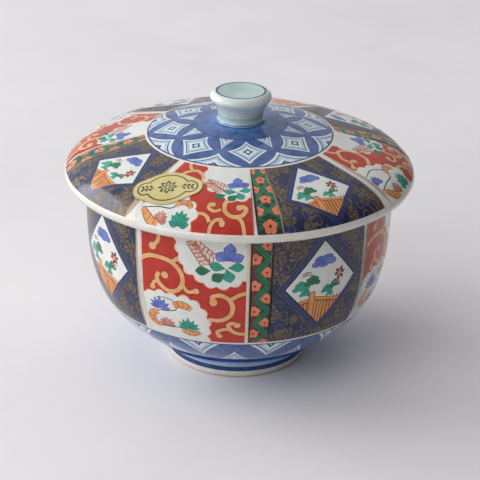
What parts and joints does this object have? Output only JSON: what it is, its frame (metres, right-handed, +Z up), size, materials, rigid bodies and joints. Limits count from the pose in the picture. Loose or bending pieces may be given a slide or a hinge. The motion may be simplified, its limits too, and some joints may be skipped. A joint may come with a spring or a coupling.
{
  "type": "lidded rice bowl",
  "caption": "Round footed porcelain bowl with an overhanging lift-off lid, a small button knob and panelled enamel painting.",
  "frame": {"origin": "centre of the foot ring, on the surface the bowl stands on", "axes": "+Z up along the axis the bowl and the lid are turned about; -Y towards the side the picture was taken from"},
  "size_m": [0.125, 0.125, 0.1012],
  "materials": {
    "painted_porcelain": "glossy clear glaze over cobalt blue, with red, green and gold overglaze enamels",
    "celadon_porcelain": "glossy pale blue-green glaze with one blue ring",
    "gold_foil": "satin gold-lacquered foil with a thin black border"
  },
  "bodies": {
    "bowl": {"bowl": "painted_porcelain"},
    "lid": {"lid": "painted_porcelain", "lid_knob": "celadon_porcelain", "foil_label": "gold_foil"}
  },
  "joints": [
    {"name": "lid_lift", "type": "slide", "parent": "bowl", "child": "lid", "axis": [0, 0, 1], "range_m": [0, 0.12]}
  ]
}
